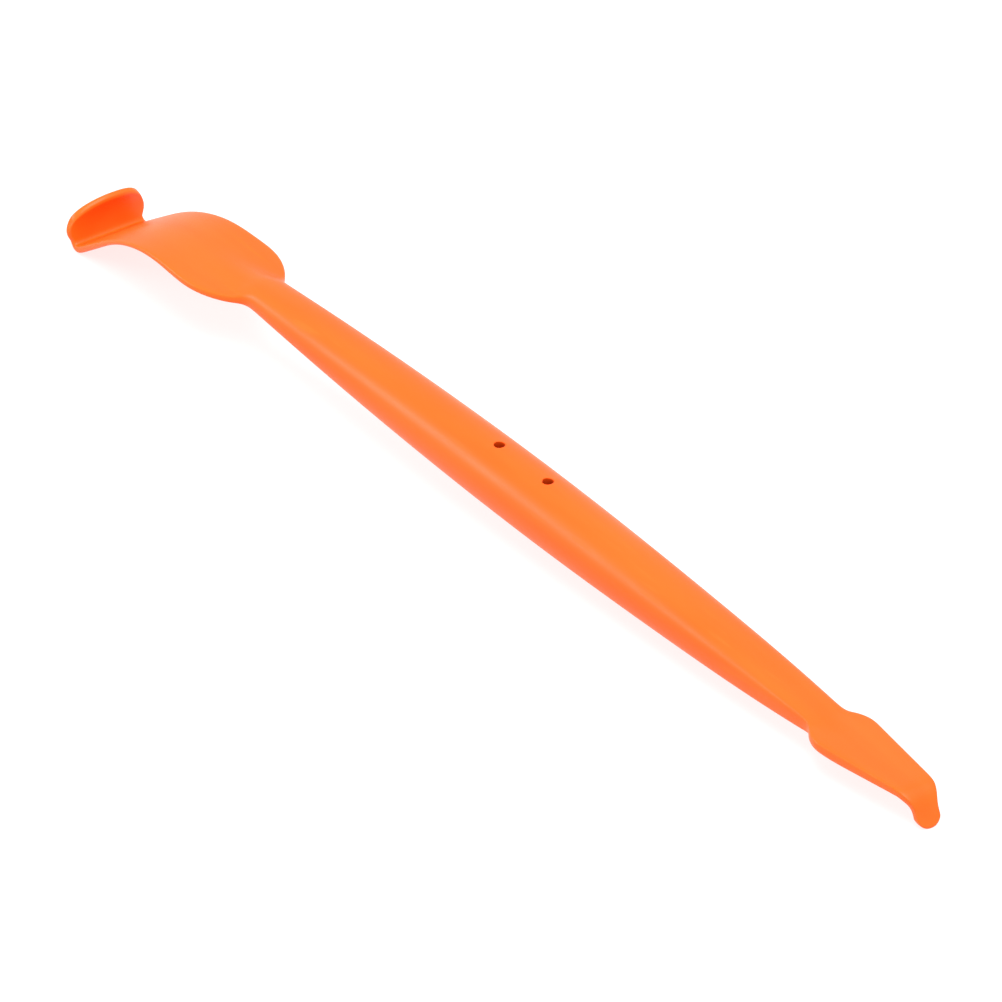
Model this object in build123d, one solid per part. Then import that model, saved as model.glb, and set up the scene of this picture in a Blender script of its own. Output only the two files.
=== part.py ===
from build123d import *
from math import atan2, copysign, cos, degrees, pi, radians, sin, tan
import os

os.makedirs("parts", exist_ok=True)

# Double-ended tucking stick: one plastic moulding with a bar magnet buried in its grip.
# The tool is drawn in its own axes: X runs along the grip from the hooked paddle to the
# small toed blade, Y goes across it and Z up, with 0 at the middle of the grip. At the end
# it is tipped and lifted so that it lies on z = 0 as it does on a bench, on the foot of its
# lip and the tip of its toe, with the origin under the middle of its length.

# ---- sizes, mm and degrees ----
grip_half_length = 68.0            # from its middle to either neck, where the plates begin
grip_width = 10.4
grip_height = 9.5
paddle_neck_width = 6.5
paddle_neck_height = 4.8
blade_neck_width = 6.15
blade_neck_height = 3.9
blade_neck_squareness = 2.8        # 2 is an ellipse, more is squarer
tang_length = 2.0                  # how far either plate reaches back into the grip
tang_width = 4.4
nose_length = 17.0                 # how far the grip's crest runs out over either plate
nose_tip_width = 2.4
nose_tip_height = 0.9

paddle_level = -0.3                # mid-plane of the paddle, from the grip's axis
paddle_thickness = 1.4             # on the centre line
paddle_edge_thickness = 0.6
paddle_crown = 0.4                 # rise of the upper face above its edges
paddle_width = 15.1
paddle_shoulder_run = 10.0         # from the neck to the widest place
root_edge_thickness = 1.2          # side wall where the paddle leaves the grip
root_length = 11.0                 # from the neck to where that wall begins to thin
root_run_out = 5.0
flat_length = 14.3                 # from the neck to the start of the bend
bend_radius = 26.0
bend_angle = 36.0
ramp_length = 8.1                  # straight run from the bend down to the lip's foot

lip_width = 12.4
lip_thickness = 1.2
lip_foot_radius = 0.9              # mid-line of the tight bend at its foot
lip_lean = 19.0                    # outward lean just above the foot
lip_curl_radius = 7.8
lip_curl_angle = 56.0              # the curl brings the crest back over the paddle
lip_crest_level = -3.1             # top of the arched crest, from the grip's axis
lip_crest_radius = 8.2
lip_corner_radius = 1.6

blade_top = 1.05                   # upper face, from the grip's axis
blade_root_thickness = 2.05
blade_toe_thickness = 1.2
blade_width = 9.9
blade_shoulder_run = 4.9           # from the neck to the widest place
blade_length = 23.0                # from the neck to the toe's outer face
blade_end_width = 5.3
toe_angle = 64.6                   # below the blade
toe_length = 5.9
toe_width = 4.0
toe_corner_radius = 1.4            # of its tip, which is flat between the corners
toe_outer_radius = 2.8
toe_inner_radius = 1.0
toe_taper_height = 2.4             # over which the blade's end narrows to the toe

magnet_length = 20.0
magnet_width = 5.0
magnet_height = 3.0
magnet_at = -4.45
magnet_gap = 0.03                  # all round, between the magnet and the plastic
pin_hole_diameter = 1.6
pin_hole_spacing = 11.7


def oval_face(x, width, height, squareness=2.0, level=0.0):
    """A rounded section across the tool at x, from an ellipse to a squarer oval."""
    count = 16
    rim = []
    for i in range(count):
        c, s = cos(2 * pi * i / count), sin(2 * pi * i / count)
        y = width / 2 * copysign(abs(c) ** (2 / squareness), c)
        z = level + height / 2 * copysign(abs(s) ** (2 / squareness), s)
        rim.append((x, y, z))
    return make_face(Spline(rim, periodic=True))


def grip_half(side, neck_width, neck_height, neck_squareness):
    """Half of the spindle, from the middle of the grip to one neck."""
    faces = []
    for i in range(7):
        share = (i / 6) ** 2
        width = grip_width + (neck_width - grip_width) * share
        height = grip_height + (neck_height - grip_height) * share
        squareness = 2 + (neck_squareness - 2) * share
        faces.append(oval_face(side * grip_half_length * i / 6, width, height, squareness))
    return faces


def nose(side, neck_width, neck_height, squareness, level):
    """The grip's crest beyond a neck, running out into the plate."""
    faces = []
    for i in range(5):
        share = i / 4
        ease = (1 - cos(pi * share)) / 2
        width = neck_width + (nose_tip_width - neck_width) * ease
        height = neck_height + (nose_tip_height - neck_height) * (1 - (1 - share) ** 2)
        x = side * (grip_half_length + nose_length * share)
        faces.append(oval_face(x, width, height, squareness, level * ease))
    return loft(faces)


def grip():
    """The spindle, widest in the middle, with both its noses."""
    to_paddle = grip_half(-1, paddle_neck_width, paddle_neck_height, 2)
    to_blade = grip_half(1, blade_neck_width, blade_neck_height, blade_neck_squareness)
    spindle = loft(to_paddle[:0:-1] + to_blade)
    paddle_nose = nose(-1, paddle_neck_width, paddle_neck_height, 2, paddle_level)
    blade_level = blade_top - blade_root_thickness / 2
    blade_nose = nose(1, blade_neck_width, blade_neck_height, blade_neck_squareness, blade_level)
    return spindle + paddle_nose + blade_nose


def plate_outline(side, shoulder_run, width, end_at, end_width):
    """A plate seen from above: a tang in the grip, a round shoulder, then a straight taper."""
    neck = (grip_half_length, tang_width / 2)
    widest = (grip_half_length + shoulder_run, width / 2)
    end = (end_at, end_width / 2)
    shoulder = TangentArc(widest, neck, tangent=(-1, 0))
    tang_at = grip_half_length - tang_length
    rest = Polyline(neck, (tang_at, tang_width / 2), (tang_at, 0), (end_at, 0), end, widest)
    outline = make_face([shoulder, rest])
    outline += mirror(outline, Plane.XZ)
    return outline if side > 0 else mirror(outline, Plane.YZ)


def paddle_path():
    """Mid-line in the XZ plane: flat, curving down, straight, the tight foot, the curled lip."""
    start = (tang_length - grip_half_length, paddle_level)
    flat = Line(start, (-grip_half_length - flat_length, paddle_level))
    bend = JernArc(flat @ 1, flat % 1, bend_radius, bend_angle)
    ramp = Line(bend @ 1, (bend @ 1) + (bend % 1) * ramp_length)
    foot = JernArc(ramp @ 1, ramp % 1, lip_foot_radius, -(90 + bend_angle - lip_lean))
    curl = JernArc(foot @ 1, foot % 1, lip_curl_radius, -lip_curl_angle)
    return [flat, bend, ramp, foot, curl]


def paddle_section(flat_bottom):
    """Section across the paddle, crowned above, and below flat or thinned towards the edges."""
    half = paddle_width / 2
    reach = 1.2 * half
    top = paddle_thickness / 2
    crown = paddle_crown * (reach / half) ** 2
    upper = ThreePointArc((-reach, top - crown), (0, top), (reach, top - crown))
    if flat_bottom:
        floor = top - paddle_crown - root_edge_thickness
        under = Line((reach, floor), (-reach, floor))
    else:
        sag = paddle_thickness - paddle_crown - paddle_edge_thickness
        edge = sag * (reach / half) ** 2 - top
        under = ThreePointArc((reach, edge), (0, -top), (-reach, edge))
    left = Line(under @ 1, upper @ 0)
    right = Line(upper @ 1, under @ 0)
    return make_face([upper, right, under, left])


def paddle():
    """The wide plate: a crowned strip bent downwards, thicker where it leaves the grip."""
    flat, bend, ramp, foot, curl = paddle_path()
    path = Plane.XZ * Wire([flat, bend, ramp])
    start = tang_length - grip_half_length
    across = Plane(origin=(start, 0, paddle_level), x_dir=(0, -1, 0), z_dir=(-1, 0, 0))
    strip = sweep(across * paddle_section(flat_bottom=False), path=path)
    thick_to = -grip_half_length - root_length
    thin_at = thick_to - root_run_out
    root = extrude(across * paddle_section(flat_bottom=True), start - thin_at)
    low = paddle_level + paddle_thickness / 2 - paddle_crown - root_edge_thickness
    below = low - paddle_thickness
    run_out = make_face(Polyline((thick_to, low), (thin_at, paddle_level), (thin_at, below),
                                 (thick_to, below), close=True))
    root -= extrude(Plane.XZ * run_out, paddle_width, both=True)
    lip_at = -(curl @ 0.5).X
    plan = plate_outline(-1, paddle_shoulder_run, paddle_width, lip_at, lip_width)
    return (strip + root) & extrude(plan, 4 * bend_radius, both=True)


def lip():
    """The upturned hook: a curled plate with an arched crest and rounded corners."""
    flat, bend, ramp, foot, curl = paddle_path()
    profile = make_face(offset(Wire([foot, curl]), lip_thickness / 2, side=Side.BOTH))
    plate = extrude(Plane.XZ * profile, lip_width / 2, both=True)
    half = lip_width / 2
    corner_z = lip_crest_level - lip_crest_radius + (lip_crest_radius**2 - half**2) ** 0.5
    low = (foot @ 0).Y - 4 * lip_thickness
    crest = ThreePointArc((half, corner_z), (0, lip_crest_level), (-half, corner_z))
    sides = Polyline((-half, corner_z), (-half, low), (half, low), (half, corner_z))
    front = make_face([crest, sides])
    front = fillet(front.vertices().group_by(Axis.Y)[-1], lip_corner_radius)
    lip_at = (curl @ 0.5).X
    return plate & extrude(Plane.YZ.offset(lip_at) * front, 2 * lip_curl_radius, both=True)


def blade_profile():
    """The small blade from the side: a wedge that turns down into its toe."""
    angle = radians(toe_angle)
    corner = Vector(grip_half_length + blade_length, blade_top)
    tip_outer = corner + Vector(cos(angle), -sin(angle)) * toe_length
    tip_inner = tip_outer + Vector(-sin(angle), -cos(angle)) * blade_toe_thickness
    inner_corner = corner - Vector(blade_toe_thickness * tan(angle / 2), blade_toe_thickness)
    tang_at = grip_half_length - tang_length
    outline = Polyline((tang_at, blade_top), corner, tip_outer, tip_inner, inner_corner,
                       (tang_at, blade_top - blade_root_thickness), close=True)
    profile = make_face(outline)
    profile = fillet(profile.vertices().sort_by_distance(corner)[0], toe_outer_radius)
    return fillet(profile.vertices().sort_by_distance(inner_corner)[0], toe_inner_radius)


def toe_outline():
    """The toe from the front: it narrows below the blade's end and has rounded corners."""
    half = toe_width / 2
    bottom = blade_top - toe_length * sin(radians(toe_angle))
    high = blade_top - blade_toe_thickness
    low = high - toe_taper_height
    wide = blade_end_width / 2
    far = 2 * blade_width
    front = make_face(Polyline((half, bottom), (half, low), (wide, high), (far, high), (far, far),
                               (-far, far), (-far, high), (-wide, high), (-half, low),
                               (-half, bottom), close=True))
    return fillet(front.vertices().group_by(Axis.Y)[0], toe_corner_radius)


def blade():
    """The small plate and its toe, tapered in width and rounded at the tip."""
    toe_at = grip_half_length + blade_length
    side_view = extrude(Plane.XZ * blade_profile(), blade_width, both=True)
    plan = plate_outline(1, blade_shoulder_run, blade_width, toe_at, blade_end_width)
    plan += Pos(toe_at + toe_length / 2, 0) * Rectangle(toe_length, blade_end_width)
    toe_start = toe_at - 2 * blade_toe_thickness
    front_view = extrude(Plane.YZ.offset(toe_start) * toe_outline(), 2 * toe_length)
    behind = Pos(toe_start - toe_at / 2, 0, 0) * Box(toe_at, 4 * blade_width, 4 * blade_width)
    return side_view & extrude(plan, 4 * blade_width, both=True) & (front_view + behind)


def magnet():
    """The bar magnet, lying along the grip on its axis."""
    return Pos(magnet_at, 0, 0) * Box(magnet_length, magnet_width, magnet_height)


def magnet_room():
    """The room that the magnet takes, with the holes left by the pins that held it."""
    grown = [size + 2 * magnet_gap for size in (magnet_length, magnet_width, magnet_height)]
    room = Pos(magnet_at, 0, 0) * Box(*grown)
    for side in (-1, 1):
        pin_at = magnet_at + side * pin_hole_spacing / 2
        room += Pos(pin_at, 0, 0) * Cylinder(pin_hole_diameter / 2, 2 * grip_height)
    return room


def rest_angle(hook_end, toe_end):
    """Turn about Y that brings the lowest points of the two ends level."""
    angle = 0
    for _ in range(5):
        hook = hook_end.rotate(Axis.Y, angle).bounding_box()
        toe = toe_end.rotate(Axis.Y, angle).bounding_box()
        angle += degrees(atan2(toe.min.Z - hook.min.Z, toe.max.X - hook.min.X))
    return angle


hook_end = paddle() + lip()
toe_end = blade()
tool_body = grip() + hook_end + toe_end - magnet_room()
angle = rest_angle(hook_end, toe_end)
box = tool_body.rotate(Axis.Y, angle).bounding_box()
lift = (-box.center().X, 0, -box.min.Z)

for name, shape in (("tool_body", tool_body), ("magnet", magnet())):
    placed = shape.rotate(Axis.Y, angle).translate(lift)
    export_step(placed, f"parts/{name}.step")
    size = placed.bounding_box().size
    print(f"{name}: {placed.volume:.1f} mm3, {size.X:.2f} x {size.Y:.2f} x {size.Z:.2f} mm")
print(f"rest angle {angle:.4f} deg, lift {lift[0]:.4f}, {lift[2]:.4f} mm")
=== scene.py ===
from math import atan2, cos, pi, radians, sin, tan

import bmesh
import bpy
from mathutils import Matrix, Vector


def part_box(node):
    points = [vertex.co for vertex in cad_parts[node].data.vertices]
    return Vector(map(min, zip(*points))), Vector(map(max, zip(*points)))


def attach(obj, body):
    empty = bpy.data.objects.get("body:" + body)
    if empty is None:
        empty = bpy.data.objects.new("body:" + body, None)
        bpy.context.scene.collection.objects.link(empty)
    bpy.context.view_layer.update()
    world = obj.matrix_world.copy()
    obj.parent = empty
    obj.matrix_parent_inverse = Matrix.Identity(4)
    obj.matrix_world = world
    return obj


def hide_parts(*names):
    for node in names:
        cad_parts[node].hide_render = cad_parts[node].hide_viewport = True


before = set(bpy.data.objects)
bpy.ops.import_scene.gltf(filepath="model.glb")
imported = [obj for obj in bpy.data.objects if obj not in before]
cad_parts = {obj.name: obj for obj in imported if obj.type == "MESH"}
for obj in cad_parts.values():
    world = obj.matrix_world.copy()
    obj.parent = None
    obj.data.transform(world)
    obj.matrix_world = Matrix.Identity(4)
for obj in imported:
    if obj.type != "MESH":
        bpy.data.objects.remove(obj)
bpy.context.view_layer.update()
bpy.ops.object.select_all(action="DESELECT")


# ---- where the tool lies ----
# The tool is modelled in its own axes, in millimetres: X runs along the grip from the paddle to
# the blade, Z is up and 0 is the middle of the grip. On the bench it leans on the foot of its lip
# and the tip of its toe. The magnet lies on the grip's axis, so it gives that axis its place.
rest_angle = radians(1.8841)
magnet_at = -4.45
magnet_low, magnet_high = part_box("magnet")
magnet_centre = (magnet_low + magnet_high) / 2
tool_axes = (Matrix.Translation(magnet_centre) @ Matrix.Rotation(rest_angle, 4, "Y")
             @ Matrix.Scale(0.001, 4) @ Matrix.Translation((-magnet_at, 0, 0)))


# ---- camera ----
# A long lens from far off, to the right of the blade's end and above the bench, so that the two
# sides of the tool look nearly parallel.
camera_azimuth, camera_elevation = radians(53.95), radians(31.45)
camera_distance = 6.5
frame_width = 0.1423
aim_shift = Vector((-0.00576, 0.00051, 0))
back = Vector((sin(camera_azimuth) * cos(camera_elevation),
               -cos(camera_azimuth) * cos(camera_elevation), sin(camera_elevation)))
facing = (-back).to_track_quat("-Z", "Y")
grip_middle = tool_axes @ Vector((0, 0, 0))
aim = grip_middle + facing @ aim_shift
bpy.ops.object.camera_add(location=aim + back * camera_distance, rotation=facing.to_euler())
camera = bpy.context.object
camera.name = "camera"
camera.data.sensor_width = 36
camera.data.lens = camera.data.sensor_width * camera_distance / frame_width
camera.data.clip_start, camera.data.clip_end = 0.05, 50
bpy.context.scene.camera = camera


# ---- moulding ----
# One shot of satin-gloss orange plastic: the hooked paddle, the spindle grip and the small toed
# blade are one wall of plastic. It is drawn out as one tube of rings, from the tip of the toe
# to the crest of the lip, and both plates are then turned down and up along their bends.
# A run is a distance along a plate from its neck, in millimetres. A turn is the angle round a
# section, from its edge on the +Y side over the top.
ring_points = 32
grip_half_length = 68.0
grip_width, grip_height = 10.4, 9.5
paddle_neck = (6.7, 3.9, 2.2)               # width, height, squareness
blade_neck = (6.4, 2.7, 4.5)
blade_neck_lift = 0.12
plate_squareness = 8
rubbed_from = 0.9                           # share of a plate's half width, out to its edge

paddle_level = -0.3
paddle_half_width, paddle_root_half_width = 7.82, 4.0
paddle_shoulder_run = 9.0
paddle_side_curve = 1.3
paddle_top, paddle_under, paddle_edge = 0.7, 0.9, 0.65      # thickness above and below the bend line
crown_least, crown_gain = 0.1, 0.3
crown_runs = (14, 30)
under_loss, edge_loss = 0.2, 0.35
thinning_runs = (9, 17)
strip_runs = (20, 38)                       # where the section becomes the plain strip of the lip
paddle_ridge_run = 15
paddle_ridge_half_width, paddle_ridge_flare, paddle_ridge_bluntness = 2.0, 1.7, 1.4
paddle_ridge_above, paddle_ridge_below = 1.55, 0.75
paddle_bends = [(14.3, 0), (16.34, -36), (8.0, 0), (2.2, 107), (7.0, 56)]       # length, degrees
foot_end = sum(length for length, degrees in paddle_bends[:4])

lip_half_width, lip_bulge = 6.2, 0.09
lip_thickness = 1.2
lip_height, lip_side_height = 6.1, 2.6
lip_corner_curves = (1.6, 2.9)              # on the -Y and the +Y side
lip_rim_from, lip_rim_loss = 0.93, 0.5
lip_rubbed_from = 0.85

blade_top = 1.05
blade_length = 23
blade_half_width, blade_root_half_width = 5.28, 2.6
blade_end_half_width = 2.88
blade_shoulder_run = 4.9
blade_root_thickness, blade_swell, blade_thinning = 1.7, 0.65, 1.1
swell_runs = (1, 9)
blade_thinning_run = 22
blade_ridge_run = 7
blade_ridge_half_width, blade_ridge_flare, blade_ridge_bluntness = 1.0, 2.3, 1.5
blade_ridge_above, blade_ridge_below = 0.42, 0.24

toe_degrees = 64.6
blade_bends = [(20.6, 0), (4.4, -toe_degrees), (3.4, 0)]
toe_half_width = 2.0
toe_narrowing_runs = (22, 25.5)
toe_start, tip_at = 26.0, 28.46
tip_corner = 1.9
tip_rim_from, tip_rim_loss = 0.8, 0.4


def ease(low, high, value):
    """0 before low, 1 after high, and a smooth step between them."""
    share = min(1, max(0, (value - low) / (high - low)))
    return share * share * (3 - 2 * share)


def fullness(turn, squareness):
    """Height of a rounded section at that turn round it, from -1 to 1."""
    side = 1 if sin(turn) >= 0 else -1
    return side * max(0, 1 - abs(cos(turn)) ** squareness) ** (1 / squareness)


def along_bends(bends, run, rise):
    """Where a point of the flat plate lies once the plate is bent: run along it, rise above it."""
    out, up, heading = 0, 0, 0
    for length, degrees in bends:
        part = min(run, length) if (length, degrees) != bends[-1] else run
        bend = radians(degrees) * part / length
        if degrees:
            radius = length / radians(degrees)
            out += radius * (sin(heading + bend) - sin(heading))
            up += radius * (cos(heading) - cos(heading + bend))
        else:
            out += part * cos(heading)
            up += part * sin(heading)
        heading += bend
        run -= part
        if run <= 0:
            break
    return out - rise * sin(heading), up + rise * cos(heading)


def shoulder(run, length, half_width, start):
    """Half width of a plate as its round shoulder grows from the neck."""
    rise = half_width - start
    radius = (length**2 + rise**2) / (2 * rise)
    return half_width - radius + (radius**2 - max(0, length - run) ** 2) ** 0.5


def ridge(across, fade, half_width, flare, bluntness):
    """How high the ridge stands that runs out from the neck onto a plate, from 0 to 1."""
    arch = max(0, 1 - (across / (half_width + flare * fade)) ** 2)
    return fade**2 * arch ** (2 - bluntness * fade**6)


def corner_drop(across, half_width, corner):
    """How far a rounded corner falls back from a straight end."""
    inside = max(0, across - (half_width - corner))
    return corner - max(0, corner**2 - inside**2) ** 0.5


def grip_point(turn, place):
    """A point of the grip's section at that place along X, and how rubbed it is."""
    neck_width, neck_height, neck_squareness = paddle_neck if place < 0 else blade_neck
    share = (place / grip_half_length) ** 2
    width = grip_width + (neck_width - grip_width) * share
    height = grip_height + (neck_height - grip_height) * share
    squareness = 2 + (neck_squareness - 2) * share**2
    lift = blade_neck_lift * share**2 if place > 0 else 0
    return place, width / 2 * cos(turn), lift + height / 2 * fullness(turn, squareness), 0


def paddle_point(turn, place):
    """The same for the paddle at a run from its neck, and for the lip, past the foot's end."""
    side = cos(turn)
    if place < paddle_shoulder_run:
        half = shoulder(place, paddle_shoulder_run, paddle_half_width, paddle_root_half_width)
    else:
        share = (place - paddle_shoulder_run) / (foot_end - paddle_shoulder_run)
        half = paddle_half_width + ((lip_half_width - paddle_half_width)
                                    * min(1, share) ** paddle_side_curve)
    across = half * side

    thin = ease(*thinning_runs, place)
    edge = paddle_edge - edge_loss * thin
    middle = paddle_under - under_loss * thin
    crown = crown_least + crown_gain * ease(*crown_runs, place)
    strip = ease(*strip_runs, place)
    above = (paddle_top - crown * side**2) * (1 - strip) + lip_thickness / 2 * strip
    below = (edge + (middle - edge) * (1 - side**2)) * (1 - strip) + lip_thickness / 2 * strip
    fade = max(0, 1 - place / paddle_ridge_run)
    raised = ridge(across, fade, paddle_ridge_half_width, paddle_ridge_flare,
                   paddle_ridge_bluntness)
    above += paddle_ridge_above * raised
    below += paddle_ridge_below * raised

    run = place
    over_lip = max(0, place - foot_end) / lip_height
    if over_lip:
        across *= 1 + lip_bulge * sin(pi * over_lip)
        curve = lip_corner_curves[0] if side < 0 else lip_corner_curves[1]
        crest = (lip_height - lip_side_height) * (1 - abs(side) ** curve) ** 0.5
        run = foot_end + over_lip * (lip_side_height + crest)
        rim = 1 - lip_rim_loss * ease(lip_rim_from, 1, over_lip)
        above *= rim
        below *= rim
    full = fullness(turn, plate_squareness)
    out, up = along_bends(paddle_bends, run, (above if full > 0 else below) * full)
    rubbed = max(ease(rubbed_from, 1, abs(side)), ease(lip_rubbed_from, 1, over_lip))
    return -grip_half_length - out, across, paddle_level + up, rubbed


def blade_point(turn, place):
    """The same for the blade at a run from its neck, and for the toe, past its end."""
    if place < blade_shoulder_run:
        half = shoulder(place, blade_shoulder_run, blade_half_width, blade_root_half_width)
    else:
        share = (place - blade_shoulder_run) / (blade_length - blade_shoulder_run)
        half = blade_half_width + (blade_end_half_width - blade_half_width) * min(1, share)
        half += (toe_half_width - half) * ease(*toe_narrowing_runs, place)
    across = half * cos(turn)

    thickness = blade_root_thickness + blade_swell * ease(*swell_runs, place)
    thickness -= blade_thinning * min(1, place / blade_thinning_run)
    middle = -thickness / 2
    over_toe = max(0, place - toe_start) / (tip_at - toe_start)
    thickness *= 1 - tip_rim_loss * ease(tip_rim_from, 1, over_toe)
    full = fullness(turn, plate_squareness)
    rise = middle + thickness / 2 * full
    fade = max(0, 1 - place / blade_ridge_run)
    raised = ridge(across, fade, blade_ridge_half_width, blade_ridge_flare, blade_ridge_bluntness)
    rise += (blade_ridge_above if full > 0 else -blade_ridge_below) * raised * abs(full)

    run = place
    if over_toe:
        drop = corner_drop(abs(across), toe_half_width, tip_corner)
        run = toe_start + over_toe * (tip_at - drop - toe_start)
        run += over_toe * rise / tan(radians(toe_degrees))      # level at the tip, to stand on
    out, up = along_bends(blade_bends, run, rise)
    rubbed = max(ease(rubbed_from, 1, abs(cos(turn))), ease(0, 1, over_toe))
    return grip_half_length + out, across, blade_top + up, rubbed


pin_hole_spacing = 11.7
pin_hole_places = (magnet_at - pin_hole_spacing / 2, magnet_at + pin_hole_spacing / 2)
pin_hole_rim, pin_hole_lip = 0.23, 0.04
beside_hole = 1.05
magnet_half_height = 1.5

# Where the rings stand: close together at the necks, the bends, the rims and the pin holes.
blade_runs = [0.7, 1.6, 2.7, 4, 5.2, 7, 9, 11.5, 14, 16.5, 18.5, 20.2, 21.3, 22.1, 22.9,
              23.7, 24.5, 25.3, toe_start, 26.7, 27.3, 27.75, 28.05, 28.25, tip_at]
grip_places = [67.3, 64.8, *range(60, 11, -6), 8, 4.4]
grip_places += [pin_hole_places[1] + step for step in (beside_hole, 0, -beside_hole)]
grip_places += [-1.6, magnet_at, -7.3]
grip_places += [pin_hole_places[0] + step for step in (beside_hole, 0, -beside_hole)]
grip_places += [-13.3, *range(-18, -61, -6), -64.8, -67.3]
paddle_runs = [0.7, 1.7, 3, 4.6, 6.4, 8.4, 10.4, 12.6, 15, 17.5, 20, 22.5, 25, 27.5, 30,
               32.5, 35, 36.8, 37.8, 38.5, 39.1, 39.6, 40.1, foot_end]
paddle_runs += [foot_end + lip_height * share
                for share in (0.08, 0.2, 0.34, 0.48, 0.62, 0.75, 0.86, 0.93, 0.97, 1)]
sections = [(blade_point, run) for run in reversed(blade_runs)]
sections += [(grip_point, place) for place in grip_places]
sections += [(paddle_point, run) for run in paddle_runs]

bpy.ops.mesh.primitive_circle_add(vertices=ring_points, radius=1, rotation=(0, pi / 2, 0))
moulding = bpy.context.object
moulding.name = "moulding"
bpy.ops.object.transform_apply(location=True, rotation=True, scale=True)
bpy.ops.object.mode_set(mode="EDIT")
bpy.ops.mesh.select_mode(type="VERT")
bpy.ops.mesh.select_all(action="SELECT")
mesh = bmesh.from_edit_mesh(moulding.data)
number = mesh.verts.layers.int.new("number")
edge = mesh.verts.layers.float.new("edge")
painted_hole_shade = mesh.verts.layers.float.new("painted_hole_shade")
for vert in mesh.verts:
    turn = atan2(vert.co.z, vert.co.y) % (2 * pi)
    vert[number] = round(turn / (2 * pi) * ring_points) % ring_points
bmesh.update_edit_mesh(moulding.data)


def shape_ring(point, place):
    """Moves the ring that is selected to its section of the tool."""
    mesh = bmesh.from_edit_mesh(moulding.data)
    number = mesh.verts.layers.int["number"]
    edge = mesh.verts.layers.float["edge"]
    for vert in mesh.verts:
        if vert.select:
            x, y, z, rubbed = point(2 * pi * vert[number] / ring_points, place)
            vert.co = (x, y, z)
            vert[edge] = rubbed
    bmesh.update_edit_mesh(moulding.data)


def close_ring():
    """Closes the selected ring, the upper half to the lower."""
    mesh = bmesh.from_edit_mesh(moulding.data)
    number = mesh.verts.layers.int["number"]
    ring = {vert[number]: vert for vert in mesh.verts if vert.select}
    half = ring_points // 2
    mesh.faces.new((ring[0], ring[1], ring[ring_points - 1]))
    mesh.faces.new((ring[half - 1], ring[half], ring[half + 1]))
    for k in range(1, half - 1):
        mesh.faces.new((ring[k], ring[k + 1], ring[ring_points - k - 1], ring[ring_points - k]))
    bmesh.update_edit_mesh(moulding.data)


shape_ring(*sections[0])
close_ring()
for section in sections[1:]:
    bpy.ops.mesh.extrude_edges_move()
    shape_ring(*section)
close_ring()

bpy.ops.mesh.select_all(action="SELECT")
bpy.ops.mesh.normals_make_consistent(inside=False)

# Two steel pins held the magnet while the plastic was shot round it. Each left a hole in the
# crest and one in the belly, down to the magnet.
# The walls and floor of each hole are marked for painted shade, which the orange material paints as
# a darker orange.
for place in pin_hole_places:
    for side in (1, -1):
        mouth = Vector((place, 0, side * grip_point(pi / 2, place)[2]))
        bpy.ops.mesh.select_all(action="DESELECT")
        mesh = bmesh.from_edit_mesh(moulding.data)
        middle = min(mesh.verts, key=lambda vert: (vert.co - mouth).length)
        bmesh.ops.dissolve_verts(mesh, verts=[middle])
        lid = min(mesh.faces, key=lambda face: (face.calc_center_median() - mouth).length)
        for face in mesh.faces:
            face.select_set(False)
        lid.select_set(True)
        bmesh.update_edit_mesh(moulding.data)
        bpy.ops.transform.tosphere(value=1)
        for width in (pin_hole_rim, pin_hole_lip):
            bpy.ops.mesh.inset(thickness=width)
        for depth in (pin_hole_lip, abs(mouth.z) - magnet_half_height):
            bpy.ops.mesh.extrude_context_move(
                TRANSFORM_OT_translate={"value": (0, 0, -side * depth)})
            mesh = bmesh.from_edit_mesh(moulding.data)
            painted_hole_shade = mesh.verts.layers.float["painted_hole_shade"]
            for vert in mesh.verts:
                if vert.select:
                    vert[painted_hole_shade] = 1
            bmesh.update_edit_mesh(moulding.data)
        bpy.ops.mesh.inset(thickness=pin_hole_lip)

bpy.ops.mesh.select_all(action="DESELECT")
bpy.ops.object.mode_set(mode="OBJECT")
subdivision = moulding.modifiers.new("subdivision", "SUBSURF")
subdivision.levels = subdivision.render_levels = 2
bpy.ops.object.modifier_apply(modifier="subdivision")
moulding.data.transform(tool_axes)
bpy.ops.object.shade_smooth()
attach(moulding, "root")
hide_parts("tool_body")


def new_group(name, inputs, outputs):
    """An empty shader node group, with its number inputs, and its outputs by kind."""
    group = bpy.data.node_groups.new(name, "ShaderNodeTree")
    for label, value in inputs:
        socket = group.interface.new_socket(label, in_out="INPUT", socket_type="NodeSocketFloat")
        socket.default_value = value
    for label, kind in outputs:
        group.interface.new_socket(label, in_out="OUTPUT", socket_type="NodeSocket" + kind)
    return group, group.nodes.new("NodeGroupInput"), group.nodes.new("NodeGroupOutput")


def noise(tree, places, scale, detail, stretch=(1, 1, 1)):
    """A noise texture on the given places, drawn out along an axis where stretch is below 1."""
    mapping = tree.nodes.new("ShaderNodeMapping")
    mapping.inputs["Scale"].default_value = stretch
    texture = tree.nodes.new("ShaderNodeTexNoise")
    texture.inputs["Scale"].default_value = scale
    texture.inputs["Detail"].default_value = detail
    tree.links.new(places, mapping.inputs["Vector"])
    tree.links.new(mapping.outputs["Vector"], texture.inputs["Vector"])
    return texture.outputs["Fac"]


def spread(tree, value, span, onto=(0, 1)):
    """Maps a value from one span onto another, and holds it inside."""
    node = tree.nodes.new("ShaderNodeMapRange")
    node.inputs["From Min"].default_value, node.inputs["From Max"].default_value = span
    node.inputs["To Min"].default_value, node.inputs["To Max"].default_value = onto
    tree.links.new(value, node.inputs["Value"])
    return node.outputs["Result"]


def combine(tree, operation, first_value, second_value):
    """One Math node on two sockets or numbers."""
    node = tree.nodes.new("ShaderNodeMath")
    node.operation = operation
    for socket, value in zip(node.inputs, (first_value, second_value)):
        if isinstance(value, (int, float)):
            socket.default_value = value
        else:
            tree.links.new(value, socket)
    return node.outputs["Value"]


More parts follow.
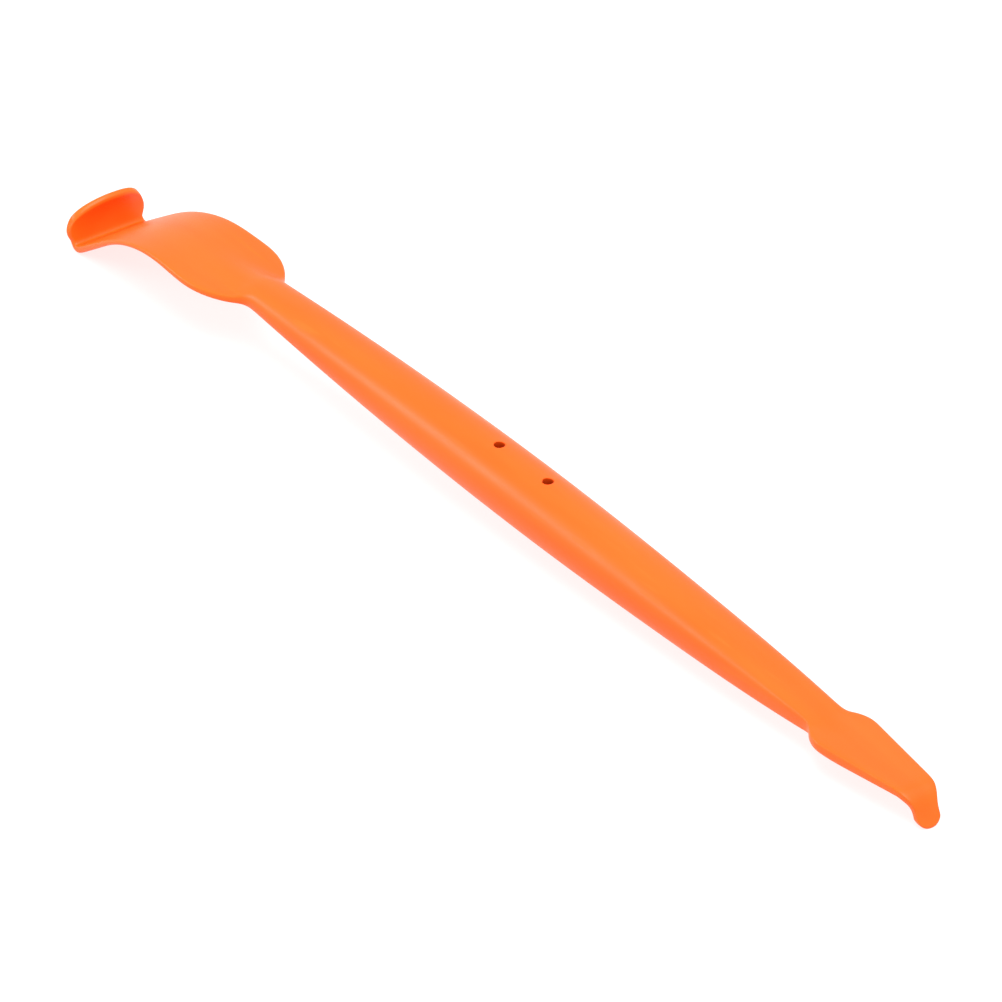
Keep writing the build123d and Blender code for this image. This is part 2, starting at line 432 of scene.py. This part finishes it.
# Handling wear: fine scratches in two directions, and duller smudges. It puts out how scratched
# and how smudged each place is.
wear, wear_in, wear_out = new_group(
    "handling_wear", [("Scratch Scale", 900), ("Smudge Scale", 60)],
    [("Scratches", "Float"), ("Smudges", "Float")])
wear_places = wear.nodes.new("ShaderNodeTexCoord").outputs["Object"]
scratch_sets = []
for stretch, turn in (((0.05, 1, 1), 0.3), ((0.08, 1, 1), -0.5)):
    mapping = wear.nodes.new("ShaderNodeMapping")
    mapping.inputs["Rotation"].default_value = (0, 0, turn)
    mapping.inputs["Scale"].default_value = stretch
    texture = wear.nodes.new("ShaderNodeTexNoise")
    texture.inputs["Detail"].default_value = 1.0
    wear.links.new(wear_places, mapping.inputs["Vector"])
    wear.links.new(mapping.outputs["Vector"], texture.inputs["Vector"])
    wear.links.new(wear_in.outputs["Scratch Scale"], texture.inputs["Scale"])
    scratch_sets.append(spread(wear, texture.outputs["Fac"], (0.66, 0.72)))
smudge_texture = wear.nodes.new("ShaderNodeTexNoise")
smudge_texture.inputs["Detail"].default_value = 4.0
wear.links.new(wear_places, smudge_texture.inputs["Vector"])
wear.links.new(wear_in.outputs["Smudge Scale"], smudge_texture.inputs["Scale"])
smudges = spread(wear, smudge_texture.outputs["Fac"], (0.4, 0.68))
patchy = combine(wear, "MULTIPLY", combine(wear, "MAXIMUM", *scratch_sets), smudges)
wear.links.new(patchy, wear_out.inputs["Scratches"])
wear.links.new(smudges, wear_out.inputs["Smudges"])

# The orange: a fine spark-eroded grain all over, pigment that flowed lengthwise from the gate,
# scratches and smudges from the hand, rims rubbed smoother and paler, and painted shade that darkens
# the walls of the pin holes.
orange = bpy.data.materials.new("orange_plastic")
orange.use_nodes = True
tree = orange.node_tree
shader = tree.nodes["Principled BSDF"]
shader.inputs["Specular IOR Level"].default_value = 0.2
places = tree.nodes.new("ShaderNodeTexCoord").outputs["Object"]
handled = tree.nodes.new("ShaderNodeGroup")
handled.node_tree = wear
handled.inputs["Scratch Scale"].default_value = 900
handled.inputs["Smudge Scale"].default_value = 55
rim = tree.nodes.new("ShaderNodeAttribute")
rim.attribute_name = "edge"
touched = spread(tree, handled.outputs["Smudges"], (0, 1), onto=(0.5, 1))
rubbed = combine(tree, "MULTIPLY", rim.outputs["Fac"], touched)
flow = noise(tree, places, scale=220, detail=3, stretch=(0.12, 1, 1))
pigment = tree.nodes.new("ShaderNodeMix")
pigment.data_type = "RGBA"
pigment.inputs["A"].default_value = (0.93, 0.097, 0.005, 1)
pigment.inputs["B"].default_value = (0.93, 0.109, 0.0075, 1)
tree.links.new(spread(tree, flow, (0.35, 0.65)), pigment.inputs["Factor"])
paled = tree.nodes.new("ShaderNodeMix")
paled.data_type = "RGBA"
paled.inputs["B"].default_value = (0.94, 0.135, 0.012, 1)
tree.links.new(pigment.outputs["Result"], paled.inputs["A"])
paled_rim = combine(tree, "MULTIPLY", rubbed, 0.5)
paled_scratch = combine(tree, "MULTIPLY", handled.outputs["Scratches"], 0.35)
tree.links.new(combine(tree, "MAXIMUM", paled_rim, paled_scratch), paled.inputs["Factor"])
# Painted shade: the walls of the pin holes are darkened to a deep orange, by an amount that varies
# with the flow noise.
painted_shade_attribute = tree.nodes.new("ShaderNodeAttribute")
painted_shade_attribute.attribute_name = "painted_hole_shade"
painted_shade_mix = tree.nodes.new("ShaderNodeMix")
painted_shade_mix.data_type = "RGBA"
painted_shade_mix.inputs["B"].default_value = (0.42, 0.03, 0.002, 1)
tree.links.new(paled.outputs["Result"], painted_shade_mix.inputs["A"])
painted_shade_amount = spread(tree, flow, (0.3, 0.7), onto=(0.75, 0.95))
tree.links.new(combine(tree, "MULTIPLY", painted_shade_attribute.outputs["Fac"], painted_shade_amount), painted_shade_mix.inputs["Factor"])
tree.links.new(painted_shade_mix.outputs["Result"], shader.inputs["Base Color"])
grain = noise(tree, places, scale=5200, detail=2)
dull = spread(tree, grain, (0.3, 0.7), onto=(0.34, 0.42))
for operation, mask, amount in (("ADD", handled.outputs["Smudges"], 0.06),
                                ("ADD", handled.outputs["Scratches"], 0.12),
                                ("SUBTRACT", rubbed, 0.08)):
    dull = combine(tree, operation, dull, combine(tree, "MULTIPLY", mask, amount))
tree.links.new(dull, shader.inputs["Roughness"])
shrinkage = noise(tree, places, scale=130, detail=1, stretch=(0.4, 1, 1))
fine = tree.nodes.new("ShaderNodeBump")
fine.inputs["Strength"].default_value = 0.35
fine.inputs["Distance"].default_value = 0.00002
scored = combine(tree, "MULTIPLY", handled.outputs["Scratches"], 0.8)
tree.links.new(combine(tree, "SUBTRACT", grain, scored), fine.inputs["Height"])
broad = tree.nodes.new("ShaderNodeBump")
broad.inputs["Strength"].default_value = 0.25
broad.inputs["Distance"].default_value = 0.00012
tree.links.new(shrinkage, broad.inputs["Height"])
tree.links.new(broad.outputs["Normal"], fine.inputs["Normal"])
tree.links.new(fine.outputs["Normal"], shader.inputs["Normal"])
moulding.data.materials.append(orange)


# ---- magnet ----
# A small sintered bar under bright nickel plate, moulded into the grip on its axis. Only the two
# spots at the bottom of the pin holes can be seen.
nickel = bpy.data.materials.new("nickel_plate")
nickel.use_nodes = True
tree = nickel.node_tree
shader = tree.nodes["Principled BSDF"]
shader.inputs["Metallic"].default_value = 1.0
places = tree.nodes.new("ShaderNodeTexCoord").outputs["Object"]
handled = tree.nodes.new("ShaderNodeGroup")
handled.node_tree = wear
handled.inputs["Scratch Scale"].default_value = 2400
handled.inputs["Smudge Scale"].default_value = 400
tarnish = tree.nodes.new("ShaderNodeMix")
tarnish.data_type = "RGBA"
tarnish.inputs["A"].default_value = (0.66, 0.63, 0.57, 1)
tarnish.inputs["B"].default_value = (0.42, 0.38, 0.31, 1)
tree.links.new(handled.outputs["Smudges"], tarnish.inputs["Factor"])
tree.links.new(tarnish.outputs["Result"], shader.inputs["Base Color"])
sintered = noise(tree, places, scale=3500, detail=4)
dull = spread(tree, sintered, (0.3, 0.7), onto=(0.22, 0.34))
scored = combine(tree, "MULTIPLY", handled.outputs["Scratches"], 0.2)
tree.links.new(combine(tree, "ADD", dull, scored), shader.inputs["Roughness"])
plated = tree.nodes.new("ShaderNodeBump")
plated.inputs["Strength"].default_value = 0.4
plated.inputs["Distance"].default_value = 0.00002
tree.links.new(combine(tree, "SUBTRACT", sintered, handled.outputs["Scratches"]),
               plated.inputs["Height"])
tree.links.new(plated.outputs["Normal"], shader.inputs["Normal"])
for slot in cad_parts["magnet"].material_slots:
    slot.material = nickel


# ---- floor and light ----
# A sheet of pale paper that glows faintly, so that it stays white under the tool, in a bright even
# studio. A soft lamp hangs over the blade's end, and a long one stands low beside the paddle and
# draws the line of light along the grip.
paper_size = 12
bpy.ops.mesh.primitive_plane_add(size=paper_size, location=(0, 0, 0))
floor = bpy.context.object
floor.name = "floor"
paper = bpy.data.materials.new("white_paper")
paper.use_nodes = True
shader = paper.node_tree.nodes["Principled BSDF"]
shader.inputs["Base Color"].default_value = (0.22, 0.22, 0.22, 1)
shader.inputs["Roughness"].default_value = 0.9
shader.inputs["Emission Color"].default_value = (1, 1, 1, 1)
shader.inputs["Emission Strength"].default_value = 0.78
floor.data.materials.append(paper)

world = bpy.data.worlds.new("studio")
bpy.context.scene.world = world
world.use_nodes = True
world.node_tree.nodes["Background"].inputs["Color"].default_value = (1, 1, 1, 1)
world.node_tree.nodes["Background"].inputs["Strength"].default_value = 0.95


def hang_lamp(name, place, length, width, watts):
    """A flat lamp at that place, turned towards the middle of the tool."""
    bpy.ops.object.light_add(type="AREA", location=place)
    lamp = bpy.context.object
    lamp.name = name
    lamp.rotation_euler = Vector(place).to_track_quat("Z", "Y").to_euler()
    lamp.data.shape = "RECTANGLE"
    lamp.data.size, lamp.data.size_y = length, width
    lamp.data.energy = watts


hang_lamp("overhead", (0.45, -0.1, 1.5), length=1.3, width=1.3, watts=32)
hang_lamp("strip", (-0.69, -0.6, 0.4), length=0.5, width=0.12, watts=3.6)
bpy.context.scene.view_settings.view_transform = "Standard"
